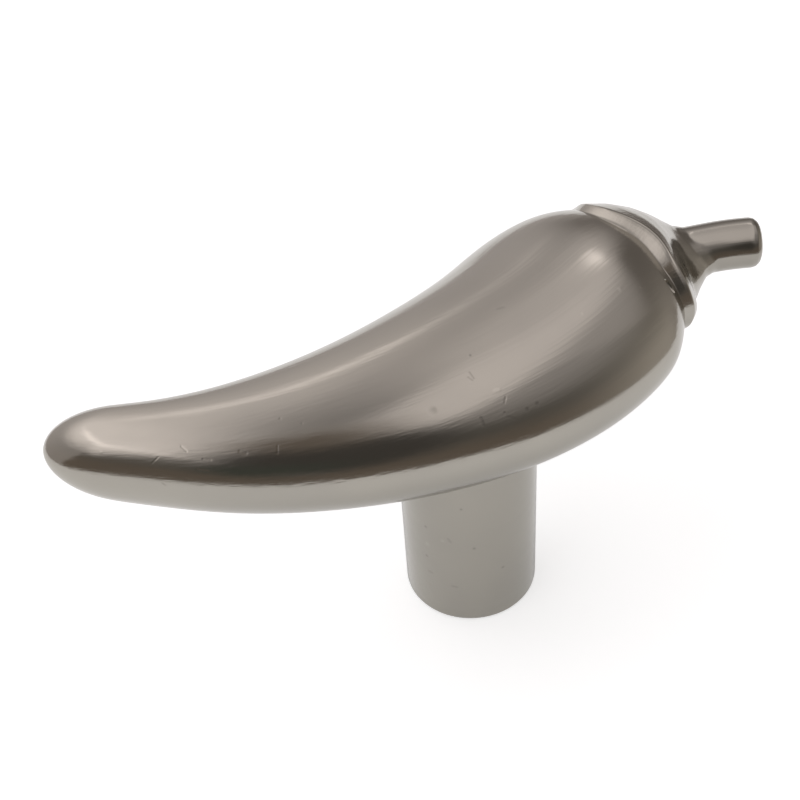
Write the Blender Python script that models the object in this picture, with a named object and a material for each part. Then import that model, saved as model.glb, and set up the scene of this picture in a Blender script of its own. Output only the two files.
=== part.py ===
"""Chili pepper cabinet knob: one zinc casting, a pepper lying across a round post.

The post stands on its mounting face, at Z = 0 with its axis on Z, and is tapped from below for
the screw that comes through the drawer front. The pepper's spine is a curve in plan, at one
height above that face, with the tail on -X, and the calyx and the stalk on +X.

Lengths are in metres. "Along" is measured on the spine from the tip of the tail. A "turn" is an
angle about the spine: 0 is the pepper's right side, towards -Y, and a quarter turn is its top.
"""

import math

import bmesh
import bpy
import numpy as np
from mathutils import Vector
from mathutils.bvhtree import BVHTree

# The post and its tapped hole, an M4 thread's core.
POST_DIAMETER = 0.0120
POST_DRAFT_DEG = 0.4
POST_FOOT_ROUNDING = 0.0004
POST_FILLET_RADIUS = 0.0007
HOLE_DIAMETER = 0.0033
HOLE_DEPTH = 0.0110
HOLE_POINT_DEG = 118.0
HOLE_MOUTH_CHAMFER = 0.0005

# The spine in plan, from the tip of the tail to the end of the stalk, and its height.
SPINE_HEIGHT = 0.0243
SPINE_POINTS = (
    (-0.0341, 0.0091),
    (-0.0281, 0.0053),
    (-0.0208, 0.0020),
    (-0.0120, 0.0000),
    (-0.0024, -0.0003),
    (0.0083, 0.0019),
    (0.0140, 0.0045),
    (0.0190, 0.0061),
    (0.0230, 0.0065),
    (0.0260, 0.0059),
    (0.0290, 0.0052),
    (0.0320, 0.0044),
)

# The pepper's flesh: how far along, half its width in plan, half its height.
TAIL_NOSE_LENGTH = 0.0066
FLESH_SECTIONS = (
    (0.0000, 0.0032, 0.0036),
    (0.0075, 0.0038, 0.0044),
    (0.0155, 0.0055, 0.0051),
    (0.0245, 0.0074, 0.0060),
    (0.0345, 0.0094, 0.0068),
    (0.0445, 0.0107, 0.0070),
    (0.0500, 0.0105, 0.0070),
    (0.0535, 0.0094, 0.0065),
    (0.0570, 0.0072, 0.0051),
    (0.0605, 0.0040, 0.0035),
)

# The calyx's rim, lobe by lobe: the turn in degrees, and how far along the rim lies there.
RIM_LINE = (
    (0.0, 0.0565),
    (27.0, 0.0569),
    (46.0, 0.0554),
    (75.0, 0.0558),
    (112.0, 0.0545),
    (145.0, 0.0561),
    (178.0, 0.0553),
    (212.0, 0.0567),
    (245.0, 0.0556),
    (275.0, 0.0571),
    (300.0, 0.0561),
    (330.0, 0.0573),
)
RIM_RADIUS = 0.0009

# The stalk, and how strongly the calyx's hollow holds to the flesh and to the stalk.
NECK_ALONG = 0.0640
STALK_RADIUS = 0.0023
STALK_END_RADIUS = 0.0023
STALK_END_ROUNDING = 0.0009
HOLLOW_PULL_AT_RIM = 0.55
HOLLOW_PULL_AT_NECK = 0.25

# The finish: satin nickel plate.
NICKEL_COLOUR = (0.56, 0.52, 0.47, 1.0)
NICKEL_ROUGHNESS = 0.3

# How finely the surfaces are divided.
PEPPER_SIDES = 44
POST_SIDES = 40
HOLE_SIDES = 24
FLESH_RINGS = 44
RIM_RINGS = 4
CALYX_RINGS = 9
STALK_RINGS = 5
STALK_END_RINGS = 4
POST_FOOT_RINGS = 3
POST_FILLET_RINGS = 6


def natural_spline(knots, values):
    """Gives the natural cubic spline through the rows of values, as a function of the knot value."""
    knots = np.asarray(knots, float)
    values = np.asarray(values, float)
    gaps = np.diff(knots)
    slopes = np.diff(values, axis=0) / gaps[:, None]
    system = np.eye(len(knots))
    right_side = np.zeros_like(values)
    for i in range(1, len(knots) - 1):
        system[i, i - 1 : i + 2] = gaps[i - 1], 2 * (gaps[i - 1] + gaps[i]), gaps[i]
        right_side[i] = 6 * (slopes[i] - slopes[i - 1])
    bends = np.linalg.solve(system, right_side)

    def value_at(knot):
        i = int(np.clip(np.searchsorted(knots, knot) - 1, 0, len(gaps) - 1))
        before, after, gap = knot - knots[i], knots[i + 1] - knot, gaps[i]
        return (
            (bends[i] * after**3 + bends[i + 1] * before**3) / (6 * gap)
            + (values[i] / gap - bends[i] * gap / 6) * after
            + (values[i + 1] / gap - bends[i + 1] * gap / 6) * before
        )

    return value_at


class Spine:
    """The pepper's centre line: a smooth plan curve, measured by its own length."""

    SAMPLES = 600

    def __init__(self, points, height):
        chords = np.linalg.norm(np.diff(np.array(points), axis=0), axis=1)
        knots = np.concatenate([[0], np.cumsum(chords)])
        curve = natural_spline(knots, points)
        self.points = np.array([curve(knot) for knot in np.linspace(0, knots[-1], self.SAMPLES)])
        steps = np.linalg.norm(np.diff(self.points, axis=0), axis=1)
        self.lengths = np.concatenate([[0], np.cumsum(steps)])
        self.length = self.lengths[-1]
        self.headings = np.gradient(self.points, axis=0)
        self.height = height

    def at(self, along):
        """Gives the point this far along, and the level unit vector to the spine's right there."""
        x, y = (np.interp(along, self.lengths, column) for column in self.points.T)
        ahead = Vector([np.interp(along, self.lengths, column) for column in self.headings.T])
        return Vector((x, y, self.height)), Vector((ahead.y, -ahead.x, 0)).normalized()


SPINE = Spine(SPINE_POINTS, SPINE_HEIGHT)
FLESH = natural_spline(
    [along for along, _, _ in FLESH_SECTIONS],
    [half_sizes for _, *half_sizes in FLESH_SECTIONS],
)


def flesh_half_sizes(along):
    """Gives half the flesh's width and height, which close in a round nose at the tail."""
    from_full = max(0.0, 1 - along / TAIL_NOSE_LENGTH)
    return FLESH(along) * math.sqrt(1 - from_full**2)


def rim_curve():
    """Gives the rim's place along the spine as a function of the turn, closed all round."""
    lap = len(RIM_LINE)
    stations = [(turn + 360 * (i // lap - 1), along) for i, (turn, along) in enumerate(RIM_LINE * 3)]
    spline = natural_spline([turn for turn, _ in stations], [[along] for _, along in stations])
    return lambda turn: float(spline(math.degrees(turn) % 360)[0])


RIM = rim_curve()


def surface_point(along, half_sizes, turn):
    """Gives the point of an upright ellipse about the spine at this turn."""
    centre, to_right = SPINE.at(along)
    half_width, half_height = half_sizes
    return centre + to_right * half_width * math.cos(turn) + Vector((0, 0, half_height * math.sin(turn)))


def flesh_rows(rim):
    """The flesh from the tail to the rim, with rings that close up towards both."""
    for i in range(1, FLESH_RINGS + 1):
        along = rim * (1 - math.cos(math.pi * i / FLESH_RINGS)) / 2
        yield np.array([along, *flesh_half_sizes(along)])


def rim_rows(rim):
    """The rim, a quarter roll that stands proud of the flesh."""
    for i in range(1, RIM_RINGS + 1):
        roll = math.pi / 2 * i / RIM_RINGS
        along = rim + RIM_RADIUS * (1 - math.cos(roll))
        yield np.array([along, *(flesh_half_sizes(along) + RIM_RADIUS * math.sin(roll))])


def calyx_rows(start, before_start):
    """The calyx's hollow: a curve that leaves the rim along the flesh and ends along the stalk."""
    neck = np.array([NECK_ALONG, STALK_RADIUS, STALK_RADIUS])
    reach = neck[0] - start[0]
    slope = (flesh_half_sizes(start[0]) - flesh_half_sizes(before_start)) / (start[0] - before_start)
    first_handle = start + np.array([1, *slope]) * reach * HOLLOW_PULL_AT_RIM
    last_handle = neck - np.array([reach * HOLLOW_PULL_AT_NECK, 0, 0])
    for i in range(1, CALYX_RINGS + 1):
        t = i / CALYX_RINGS
        to_first = start * (1 - t) ** 3 + first_handle * 3 * t * (1 - t) ** 2
        yield to_first + last_handle * 3 * t**2 * (1 - t) + neck * t**3


def stalk_rows():
    """The stalk, which flares a little, and its rounded end."""
    end = SPINE.length - STALK_END_ROUNDING
    for i in range(1, STALK_RINGS + 1):
        share = i / STALK_RINGS
        radius = STALK_RADIUS + (STALK_END_RADIUS - STALK_RADIUS) * share**2
        yield np.array([NECK_ALONG + (end - NECK_ALONG) * share, radius, radius])
    for i in range(1, STALK_END_RINGS + 1):
        roll = math.pi / 2 * i / STALK_END_RINGS
        radius = STALK_END_RADIUS - STALK_END_ROUNDING * (1 - math.cos(roll))
        yield np.array([end + STALK_END_ROUNDING * math.sin(roll), radius, radius])


def outline_points(turn):
    """The pepper's outline from the tail to the stalk's end, at one turn."""
    rim = RIM(turn)
    rows = [*flesh_rows(rim), *rim_rows(rim)]
    rows += calyx_rows(rows[-1], rim)
    rows += stalk_rows()
    return [surface_point(along, half_sizes, turn) for along, *half_sizes in rows]


def full_turn(sides):
    return [2 * math.pi * side / sides for side in range(sides)]


def solid_from_rings(name, rings, first_point, last_point):
    """Makes a closed object over rings of points, each of one count, with a point at either end."""
    bm = bmesh.new()
    loops = [[bm.verts.new(point) for point in ring] for ring in rings]
    first, last = bm.verts.new(first_point), bm.verts.new(last_point)
    for side in range(len(loops[0])):
        bm.faces.new((first, loops[0][side], loops[0][side - 1]))
        bm.faces.new((last, loops[-1][side - 1], loops[-1][side]))
        for here, there in zip(loops, loops[1:]):
            bm.faces.new((here[side - 1], here[side], there[side], there[side - 1]))
    bmesh.ops.recalc_face_normals(bm, faces=bm.faces)
    mesh = bpy.data.meshes.new(name)
    bm.to_mesh(mesh)
    bm.free()
    solid = bpy.data.objects.new(name, mesh)
    bpy.context.scene.collection.objects.link(solid)
    return solid


def nickel_material():
    material = bpy.data.materials.new("satin_nickel")
    material.use_nodes = True
    shader = material.node_tree.nodes["Principled BSDF"]
    shader.inputs["Base Color"].default_value = NICKEL_COLOUR
    shader.inputs["Metallic"].default_value = 1.0
    shader.inputs["Roughness"].default_value = NICKEL_ROUGHNESS
    return material


def build_pepper():
    outlines = [outline_points(turn) for turn in full_turn(PEPPER_SIDES)]
    tail_tip, _ = SPINE.at(0)
    stalk_end, _ = SPINE.at(SPINE.length)
    pepper = solid_from_rings("knob", list(zip(*outlines)), tail_tip, stalk_end)
    pepper.data.materials.append(nickel_material())
    pepper.data.shade_smooth()
    return pepper


def build_post(pepper):
    """Makes the post, whose fillet follows the pepper's underside and whose top is inside it."""
    underside = BVHTree.FromObject(pepper, bpy.context.evaluated_depsgraph_get())
    turns = full_turn(POST_SIDES)
    foot_radius = POST_DIAMETER / 2
    draft = math.tan(math.radians(POST_DRAFT_DEG))

    def polar(radius, turn, z):
        return Vector((radius * math.cos(turn), radius * math.sin(turn), z))

    def height_of_pepper(radius, turn):
        hit, _, _, _ = underside.ray_cast(polar(radius, turn, 0), Vector((0, 0, 1)))
        return hit.z

    def foot_ring(roll):
        radius = foot_radius - POST_FOOT_ROUNDING * (1 - math.sin(roll))
        return [polar(radius, turn, POST_FOOT_ROUNDING * (1 - math.cos(roll))) for turn in turns]

    def fillet_point(roll, turn):
        wall = foot_radius + draft * height_of_pepper(foot_radius, turn)
        radius = wall + POST_FILLET_RADIUS * (1 - math.cos(roll))
        return polar(radius, turn, height_of_pepper(radius, turn) - POST_FILLET_RADIUS * (1 - math.sin(roll)))

    rings = [foot_ring(math.pi / 2 * i / POST_FOOT_RINGS) for i in range(POST_FOOT_RINGS + 1)]
    for i in range(POST_FILLET_RINGS + 1):
        rings.append([fillet_point(math.pi / 2 * i / POST_FILLET_RINGS, turn) for turn in turns])
    rings.append([polar(foot_radius, turn, SPINE_HEIGHT) for turn in turns])
    return solid_from_rings("post", rings, Vector((0, 0, 0)), Vector((0, 0, SPINE_HEIGHT)))


def build_hole_cutter():
    """Makes the drill's shape, from below the mounting face to the hole's conical point."""
    radius = HOLE_DIAMETER / 2
    below = 0.001
    mouth_radius = radius + HOLE_MOUTH_CHAMFER + below
    profile = ((mouth_radius, -below), (radius, HOLE_MOUTH_CHAMFER), (radius, HOLE_DEPTH))
    rings = [
        [Vector((r * math.cos(turn), r * math.sin(turn), z)) for turn in full_turn(HOLE_SIDES)]
        for r, z in profile
    ]
    point_height = radius / math.tan(math.radians(HOLE_POINT_DEG / 2))
    return solid_from_rings("hole_cutter", rings, Vector((0, 0, -below)), Vector((0, 0, HOLE_DEPTH + point_height)))


def combine(solid, helper, operation):
    """Adds a Boolean that joins the helper to the solid or cuts it away, and hides the helper."""
    helper.hide_render = True
    helper.display_type = "WIRE"
    modifier = solid.modifiers.new(helper.name, "BOOLEAN")
    modifier.operation = operation
    modifier.object = helper


def main():
    for old in list(bpy.data.objects):
        bpy.data.objects.remove(old)
    knob = build_pepper()
    combine(knob, build_post(knob), "UNION")
    combine(knob, build_hole_cutter(), "DIFFERENCE")


main()
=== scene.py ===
"""Chili pepper cabinet knob: one satin nickel plated casting, with its tapped post.

Lengths are in metres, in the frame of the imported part. The pepper is modelled straight, with the
tip of its tail at X = 0, then bent along its spine. "Along" is measured on the spine from that
tip. A "turn" is an angle about the spine: 0 is the pepper's right side, and 90 degrees is its top.
"""

import logging
import math
from collections.abc import Callable, Sequence
from dataclasses import dataclass, field
from enum import Enum
from typing import Any

import bmesh
import bpy
import numpy as np
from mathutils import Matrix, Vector
from mathutils.bvhtree import BVHTree


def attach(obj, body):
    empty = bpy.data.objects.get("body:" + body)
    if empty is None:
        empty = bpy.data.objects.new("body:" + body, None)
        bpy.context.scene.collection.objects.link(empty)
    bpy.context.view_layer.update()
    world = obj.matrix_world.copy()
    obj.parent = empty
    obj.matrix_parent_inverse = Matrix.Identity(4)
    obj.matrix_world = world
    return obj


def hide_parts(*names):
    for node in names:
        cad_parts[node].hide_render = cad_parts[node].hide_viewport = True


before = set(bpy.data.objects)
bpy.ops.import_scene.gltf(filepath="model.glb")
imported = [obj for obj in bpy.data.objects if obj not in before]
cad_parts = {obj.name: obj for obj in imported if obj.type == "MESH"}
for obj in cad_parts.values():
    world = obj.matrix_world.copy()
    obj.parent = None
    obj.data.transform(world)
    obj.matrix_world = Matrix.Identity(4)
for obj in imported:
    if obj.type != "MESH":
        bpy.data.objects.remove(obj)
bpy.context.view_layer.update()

logging.basicConfig(level=logging.INFO, format="%(levelname)s %(message)s")
LOG = logging.getLogger("knob")

STUDIO_YAW_DEG = 22.0


class CutKind(Enum):
    """How one solid works on another."""

    JOIN = "UNION"
    CUT = "DIFFERENCE"


class PlaneAxis(Enum):
    """The axis that a round profile stands across."""

    X = (0.0, math.pi / 2, 0.0)
    Z = (0.0, 0.0, 0.0)


# Modelling by hand


def deselect_all() -> None:
    """Leaves edit mode and deselects every object."""
    if bpy.context.object is not None and bpy.context.object.mode != "OBJECT":
        bpy.ops.object.mode_set(mode="OBJECT")
    bpy.ops.object.select_all(action="DESELECT")


def pick(piece: bpy.types.Object) -> None:
    """Makes one object the selected and active one.

    Args:
        piece: the object.
    """
    deselect_all()
    piece.select_set(True)
    bpy.context.view_layer.objects.active = piece


def place_in_mesh(piece: bpy.types.Object) -> None:
    """Moves an object's place, turn and scale into its mesh."""
    pick(piece)
    bpy.ops.object.transform_apply(location=True, rotation=True, scale=True)


def apply_modifier(piece: bpy.types.Object, kind: str, **settings: Any) -> None:
    """Adds a modifier with these settings and applies it.

    Args:
        piece: the object that gets the modifier.
        kind: the modifier's type.
        settings: its properties by name.
    """
    pick(piece)
    modifier = piece.modifiers.new(kind.title(), kind)
    for name, value in settings.items():
        setattr(modifier, name, value)
    bpy.ops.object.modifier_apply(modifier=modifier.name)


def combine(piece: bpy.types.Object, tool: bpy.types.Object, kind: CutKind) -> None:
    """Joins a tool solid to a piece, or cuts it away, and removes the tool.

    Args:
        piece: the solid that is kept.
        tool: the solid that is used up.
        kind: whether it is joined or cut away.
    """
    apply_modifier(piece, "BOOLEAN", operation=kind.value, object=tool, solver="EXACT")
    bpy.data.objects.remove(tool)


class RingTool:
    """Draws out a tube ring by ring in edit mode: extrude, move, resize, then pull single points."""

    def __init__(self, name: str, sides: int, axis: PlaneAxis, start: float, radius: float) -> None:
        """Starts from a circle primitive across the axis.

        Args:
            name: the object's name.
            sides: how many points a ring has.
            axis: the axis that the rings stand across.
            start: the first ring's place on that axis.
            radius: the first ring's radius.
        """
        self.sides = sides
        self.axis = axis
        self.here = start
        self.widths = (radius, radius)
        deselect_all()
        bpy.ops.mesh.primitive_circle_add(
            vertices=sides,
            radius=radius,
            fill_type="NOTHING",
            location=self.centre,
            rotation=axis.value,
        )
        self.piece = bpy.context.object
        self.piece.name = name
        self.piece.data.name = name
        place_in_mesh(self.piece)
        bpy.ops.object.mode_set(mode="EDIT")
        bpy.ops.mesh.select_mode(type="VERT")
        bpy.ops.mesh.select_all(action="SELECT")

    @property
    def centre(self) -> tuple[float, float, float]:
        """The middle of the last ring."""
        return (self.here, 0.0, 0.0) if self.axis is PlaneAxis.X else (0.0, 0.0, self.here)

    def resize(self, widths: tuple[float, float]) -> None:
        """Resizes the last ring to these half sizes across the axis.

        Args:
            widths: the half sizes.
        """
        ratio = (widths[0] / self.widths[0], widths[1] / self.widths[1])
        if self.axis is PlaneAxis.X:
            value = (1.0, *ratio)
        else:
            value = (*ratio, 1.0)
        bpy.ops.transform.resize(value=value, center_override=self.centre)
        self.widths = widths

    def extrude_to(self, place: float, widths: tuple[float, float]) -> None:
        """Extrudes the last ring to a new place and size.

        Args:
            place: the new ring's place on the axis.
            widths: its half sizes across the axis.
        """
        step = place - self.here
        move = (step, 0.0, 0.0) if self.axis is PlaneAxis.X else (0.0, 0.0, step)
        bpy.ops.mesh.extrude_region_move(TRANSFORM_OT_translate={"value": move})
        self.here = place
        self.resize(widths)

    def pull_points(self, target: Callable[[float], Vector]) -> None:
        """Moves each point of the last ring to where it belongs.

        Args:
            target: gives a point's place from its turn about the axis, in radians.
        """
        mesh = bmesh.from_edit_mesh(self.piece.data)
        ring = [vert for vert in mesh.verts if vert.select]
        for vert in ring:
            vert.select = False
        for vert in ring:
            vert.select = True
            move = target(self.turn_of(vert.co)) - vert.co
            if move.length > 1e-9:
                bpy.ops.transform.translate(value=move)
            vert.select = False
        for vert in ring:
            vert.select = True
        mesh.select_flush(True)
        bmesh.update_edit_mesh(self.piece.data)

    def turn_of(self, place: Vector) -> float:
        """Gives a point's turn about the axis in radians, with 0 towards -Y on an X axis.

        Args:
            place: the point.

        Returns:
            The turn, rounded to the nearest of the ring's own.
        """
        if self.axis is PlaneAxis.X:
            across = (-place.y / self.widths[0], place.z / self.widths[1])
        else:
            across = (place.x, place.y)
        side = 2 * math.pi / self.sides
        return round(math.atan2(across[1], across[0]) / side) * side

    def crease(self, amount: float) -> None:
        """Holds the last ring's edges sharp through subdivision."""
        bpy.ops.transform.edge_crease(value=amount)

    def close(self) -> None:
        """Merges the last ring into one point."""
        bpy.ops.mesh.merge(type="CENTER")

    def cap(self) -> None:
        """Fills the last ring with one flat face."""
        bpy.ops.mesh.edge_face_add()

    def finish(self) -> bpy.types.Object:
        """Turns the faces outwards, leaves edit mode and gives the object.

        Returns:
            The finished tube.
        """
        bpy.ops.mesh.select_all(action="SELECT")
        bpy.ops.mesh.normals_make_consistent(inside=False)
        bpy.ops.object.mode_set(mode="OBJECT")
        return self.piece


class SmoothCurve:
    """The natural cubic spline through rows of values."""

    def __init__(self, knots: Sequence[float], values: Sequence[Sequence[float]]) -> None:
        """Solves for the bends that make the curve smooth.

        Args:
            knots: where the rows stand, in rising order.
            values: one row of numbers at each.
        """
        self.knots = np.asarray(knots, float)
        self.values = np.asarray(values, float)
        self.gaps = np.diff(self.knots)
        slopes = np.diff(self.values, axis=0) / self.gaps[:, None]
        system = np.eye(len(self.knots))
        right_side = np.zeros_like(self.values)
        for i in range(1, len(self.knots) - 1):
            before, after = self.gaps[i - 1], self.gaps[i]
            system[i, i - 1 : i + 2] = before, 2 * (before + after), after
            right_side[i] = 6 * (slopes[i] - slopes[i - 1])
        self.bends = np.linalg.solve(system, right_side)

    def at(self, knot: float) -> np.ndarray:
        """Gives the row of values at one place.

        Args:
            knot: where it is, on the knots' own scale.

        Returns:
            The values there.
        """
        i = int(np.clip(np.searchsorted(self.knots, knot) - 1, 0, len(self.gaps) - 1))
        before, after, gap = knot - self.knots[i], self.knots[i + 1] - knot, self.gaps[i]
        return (
            (self.bends[i] * after**3 + self.bends[i + 1] * before**3) / (6 * gap)
            + (self.values[i] / gap - self.bends[i] * gap / 6) * after
            + (self.values[i + 1] / gap - self.bends[i + 1] * gap / 6) * before
        )

    def slope_at_knot(self, i: int) -> np.ndarray:
        """Gives the curve's slope at one of its own knots.

        Args:
            i: the knot's number, from 0.

        Returns:
            How fast each value changes there.
        """
        if i < len(self.gaps):
            rise = (self.values[i + 1] - self.values[i]) / self.gaps[i]
            return rise - self.gaps[i] * (2 * self.bends[i] + self.bends[i + 1]) / 6
        rise = (self.values[i] - self.values[i - 1]) / self.gaps[i - 1]
        return rise + self.gaps[i - 1] * (2 * self.bends[i] + self.bends[i - 1]) / 6


@dataclass
class Spine:
    """The pepper's centre line, a plan curve at one height."""

    height: float = 0.0243
    stations: tuple[tuple[float, float], ...] = (
        *((-0.0342, 0.0090), (-0.0281, 0.0053), (-0.0208, 0.0020), (-0.0120, 0.0000)),
        *((-0.0024, -0.0003), (0.0083, 0.0019), (0.0140, 0.0045), (0.0190, 0.0061)),
        *((0.0230, 0.0065), (0.0260, 0.0060), (0.0290, 0.00535), (0.0320, 0.0043)),
    )
    smoothness: int = 64
    samples: int = 1200
    batch: int = 4000

    def __post_init__(self) -> None:
        """Measures the curve by its own length."""
        chords = np.linalg.norm(np.diff(np.array(self.stations), axis=0), axis=1)
        self.knots = np.concatenate([[0], np.cumsum(chords)])
        self.curve = SmoothCurve(self.knots, self.stations)
        knots = np.linspace(0, self.knots[-1], self.samples)
        self.points = np.array([self.curve.at(knot) for knot in knots])
        steps = np.linalg.norm(np.diff(self.points, axis=0), axis=1)
        self.lengths = np.concatenate([[0], np.cumsum(steps)])
        self.headings = np.gradient(self.points, axis=0)
        self.headings /= np.linalg.norm(self.headings, axis=1, keepdims=True)

    @property
    def length(self) -> float:
        """The spine's length from the tail's tip to the stalk's end."""
        return float(self.lengths[-1])

    def draw(self) -> bpy.types.Object:
        """Draws the spine as a curve object that a mesh can be bent along.

        Returns:
            The curve object.
        """
        deselect_all()
        bpy.ops.curve.primitive_bezier_curve_add()
        spine = bpy.context.object
        spine.name = "spine"
        spline = spine.data.splines[0]
        spline.bezier_points.add(len(self.stations) - len(spline.bezier_points))
        for i, station in enumerate(self.stations):
            point = spline.bezier_points[i]
            point.handle_left_type = point.handle_right_type = "FREE"
            slope = self.curve.slope_at_knot(i)
            gap_before = self.curve.gaps[max(i - 1, 0)]
            gap_after = self.curve.gaps[min(i, len(self.curve.gaps) - 1)]
            point.co = (*station, self.height)
            point.handle_left = (*(np.array(station) - slope * gap_before / 3), self.height)
            point.handle_right = (*(np.array(station) + slope * gap_after / 3), self.height)
        spine.data.dimensions = "3D"
        spine.data.twist_mode = "Z_UP"
        spine.data.resolution_u = self.smoothness
        return spine

    def straighten(self, places: np.ndarray) -> np.ndarray:
        """Gives, for points of the bent pepper, where they were on the straight one.

        Args:
            places: one row of X, Y and Z for each point.

        Returns:
            One row for each: along the spine, across it, and above it.
        """
        rows = np.empty_like(places)
        for first in range(0, len(places), self.batch):
            batch = slice(first, first + self.batch)
            part = places[batch]
            away = part[:, None, :2] - self.points[None]
            nearest = (away**2).sum(2).argmin(1)
            offset = part[:, :2] - self.points[nearest]
            heading = self.headings[nearest]
            ahead = (offset * heading).sum(1)
            across = heading[:, 0] * offset[:, 1] - heading[:, 1] * offset[:, 0]
            above = part[:, 2] - self.height
            rows[batch] = np.stack([self.lengths[nearest] + ahead, across, above], axis=1)
        return rows


@dataclass(frozen=True)
class RimStation:
    """The calyx at one turn: its rim's foot and thickness, and how its hollow runs to the neck.

    Fullness is how far the hollow holds its first direction, and lean how much of the flesh's
    own slope that direction has.
    """

    turn_deg: float
    foot: float
    thickness: float
    fullness: float
    lean: float
    neck: float

    def values(self) -> tuple[float, float, float, float, float]:
        """All but the turn, in order."""
        return self.foot, self.thickness, self.fullness, self.lean, self.neck


@dataclass
class Pepper:
    """The pepper's flesh, the calyx with its lobed rim, and the stalk."""

    spine: Spine
    sides: int = 48
    subdivisions: int = 2
    nose_length: float = 0.0063
    flesh_sections: tuple[tuple[float, float, float], ...] = (
        (0.0000, 0.0034, 0.0037),
        (0.0075, 0.0038, 0.0044),
        (0.0155, 0.0055, 0.0051),
        (0.0245, 0.0074, 0.0060),
        (0.0345, 0.0094, 0.0068),
        (0.0445, 0.0107, 0.0070),
        (0.0500, 0.0105, 0.0070),
        (0.0535, 0.0094, 0.0065),
        (0.0570, 0.0072, 0.0051),
        (0.0605, 0.0040, 0.0035),
    )
    nose_turns_deg: tuple[float, ...] = (7, 16, 27, 39, 52, 65, 78, 90)
    flesh_rings: tuple[float, ...] = (
        *(0.0090, 0.0122, 0.0156, 0.0192, 0.0228, 0.0264, 0.0300, 0.0334, 0.0366, 0.0396),
        *(0.0424, 0.0449, 0.0471, 0.0490, 0.0506, 0.0520, 0.0532, 0.0543, 0.0552),
    )
    lobes_start: float = 0.0430
    rim_stations: tuple[RimStation, ...] = (
        RimStation(0, 0.0557, 1.18, 0.68, 0.35, 0.0648),
        RimStation(9, 0.0556, 1.40, 0.60, 0.50, 0.0647),
        RimStation(18, 0.0555, 1.36, 0.50, 0.75, 0.0645),
        RimStation(32, 0.0553, 1.33, 0.44, 0.95, 0.0642),
        RimStation(41, 0.0553, 1.28, 0.43, 1.05, 0.0638),
        RimStation(50, 0.0552, 1.34, 0.43, 1.05, 0.0635),
        RimStation(62, 0.0555, 1.42, 0.45, 1.00, 0.0631),
        RimStation(76, 0.0556, 1.28, 0.53, 0.93, 0.0628),
        RimStation(92, 0.0551, 1.08, 0.61, 0.86, 0.0628),
        RimStation(112, 0.0546, 0.92, 0.62, 0.80, 0.0628),
        RimStation(145, 0.0557, 0.78, 0.52, 0.92, 0.0630),
        RimStation(178, 0.0553, 1.00, 0.45, 1.00, 0.0636),
        RimStation(212, 0.0567, 0.95, 0.50, 0.90, 0.0640),
        RimStation(245, 0.0556, 1.00, 0.52, 0.70, 0.0643),
        RimStation(275, 0.0568, 1.00, 0.52, 0.50, 0.0646),
        RimStation(300, 0.0561, 0.90, 0.60, 0.32, 0.0648),
        RimStation(328, 0.0568, 0.70, 0.70, 0.24, 0.0649),
        RimStation(344, 0.0562, 0.74, 0.74, 0.22, 0.0649),
    )
    shoulder_place: float = 0.0533
    shoulder_turn_deg: float = 127.0
    shoulder_length: float = 0.0036
    shoulder_width_deg: float = 30.0
    shoulder_height: float = 0.00025
    rim_foot_crease: float = 0.85
    rim_profile: tuple[tuple[float, float], ...] = (
        (0.00020, 0.00019),
        (0.00043, 0.00041),
        (0.00066, 0.00063),
        (0.00086, 0.00081),
        (0.00101, 0.00092),
    )
    hollow_steps: tuple[float, ...] = (0.14, 0.30, 0.46, 0.62, 0.80, 1.0)
    hollow_pull_at_neck: float = 0.25
    stalk_radius: float = 0.0023
    stalk_end_rounding: float = 0.0009
    stalk_steps: tuple[float, ...] = (0.35, 0.7, 1.0)
    stalk_end_turns_deg: tuple[float, ...] = (25, 50, 72, 90)
    stalk_face_shares: tuple[float, ...] = (0.6, 0.25)
    stalk_middle: float = 0.00005

    def __post_init__(self) -> None:
        """Prepares the curves that the rings follow."""
        self.flesh = SmoothCurve(
            [along for along, _, _ in self.flesh_sections],
            [half_sizes for _, *half_sizes in self.flesh_sections],
        )
        lap = len(self.rim_stations)
        rounds = [
            (station.turn_deg + 360 * (i // lap - 1), station.values())
            for i, station in enumerate(self.rim_stations * 3)
        ]
        self.rim = SmoothCurve([turn for turn, _ in rounds], [values for _, values in rounds])
        self.rim_mean = float(np.mean([station.foot for station in self.rim_stations]))

    @property
    def ring_growth(self) -> float:
        """How much wider a ring is drawn, because subdivision pulls it in."""
        return 6 / (4 + 2 * math.cos(2 * math.pi / self.sides))

    def half_sizes(self, along: float) -> np.ndarray:
        """Gives half the flesh's width and height at one place."""
        from_full = max(0.0, 1 - along / self.nose_length)
        return self.flesh.at(along) * math.sqrt(max(0.0, 1 - from_full**2))

    def rim_at(self, turn: float) -> np.ndarray:
        """Gives the rim's foot, thickness, fullness, lean and neck at a turn in radians."""
        return self.rim.at(math.degrees(turn) % 360)

    def shoulder(self, along: float, turn: float) -> float:
        """Gives how far the flesh stands proud of its ellipse on the far shoulder.

        Args:
            along: the place on the spine.
            turn: the turn in radians.

        Returns:
            The extra half size.
        """
        ahead = (along - self.shoulder_place) / self.shoulder_length
        round_ = (math.degrees(turn) % 360 - self.shoulder_turn_deg) / self.shoulder_width_deg
        return self.shoulder_height * math.exp(-ahead * ahead - round_ * round_)

    def flesh_row(self, place: float, turn: float) -> np.ndarray:
        """Gives a flesh ring's place and half sizes at a turn, shifted with the lobes near the rim.

        Args:
            place: the ring's mean place on the spine.
            turn: the turn in radians.

        Returns:
            The place along the spine, half the width and half the height.
        """
        share = np.clip((place - self.lobes_start) / (self.rim_mean - self.lobes_start), 0, 1)
        along = place + (self.rim_at(turn)[0] - self.rim_mean) * share * share * (3 - 2 * share)
        return np.array([along, *(self.half_sizes(along) + self.shoulder(along, turn))])

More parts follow.
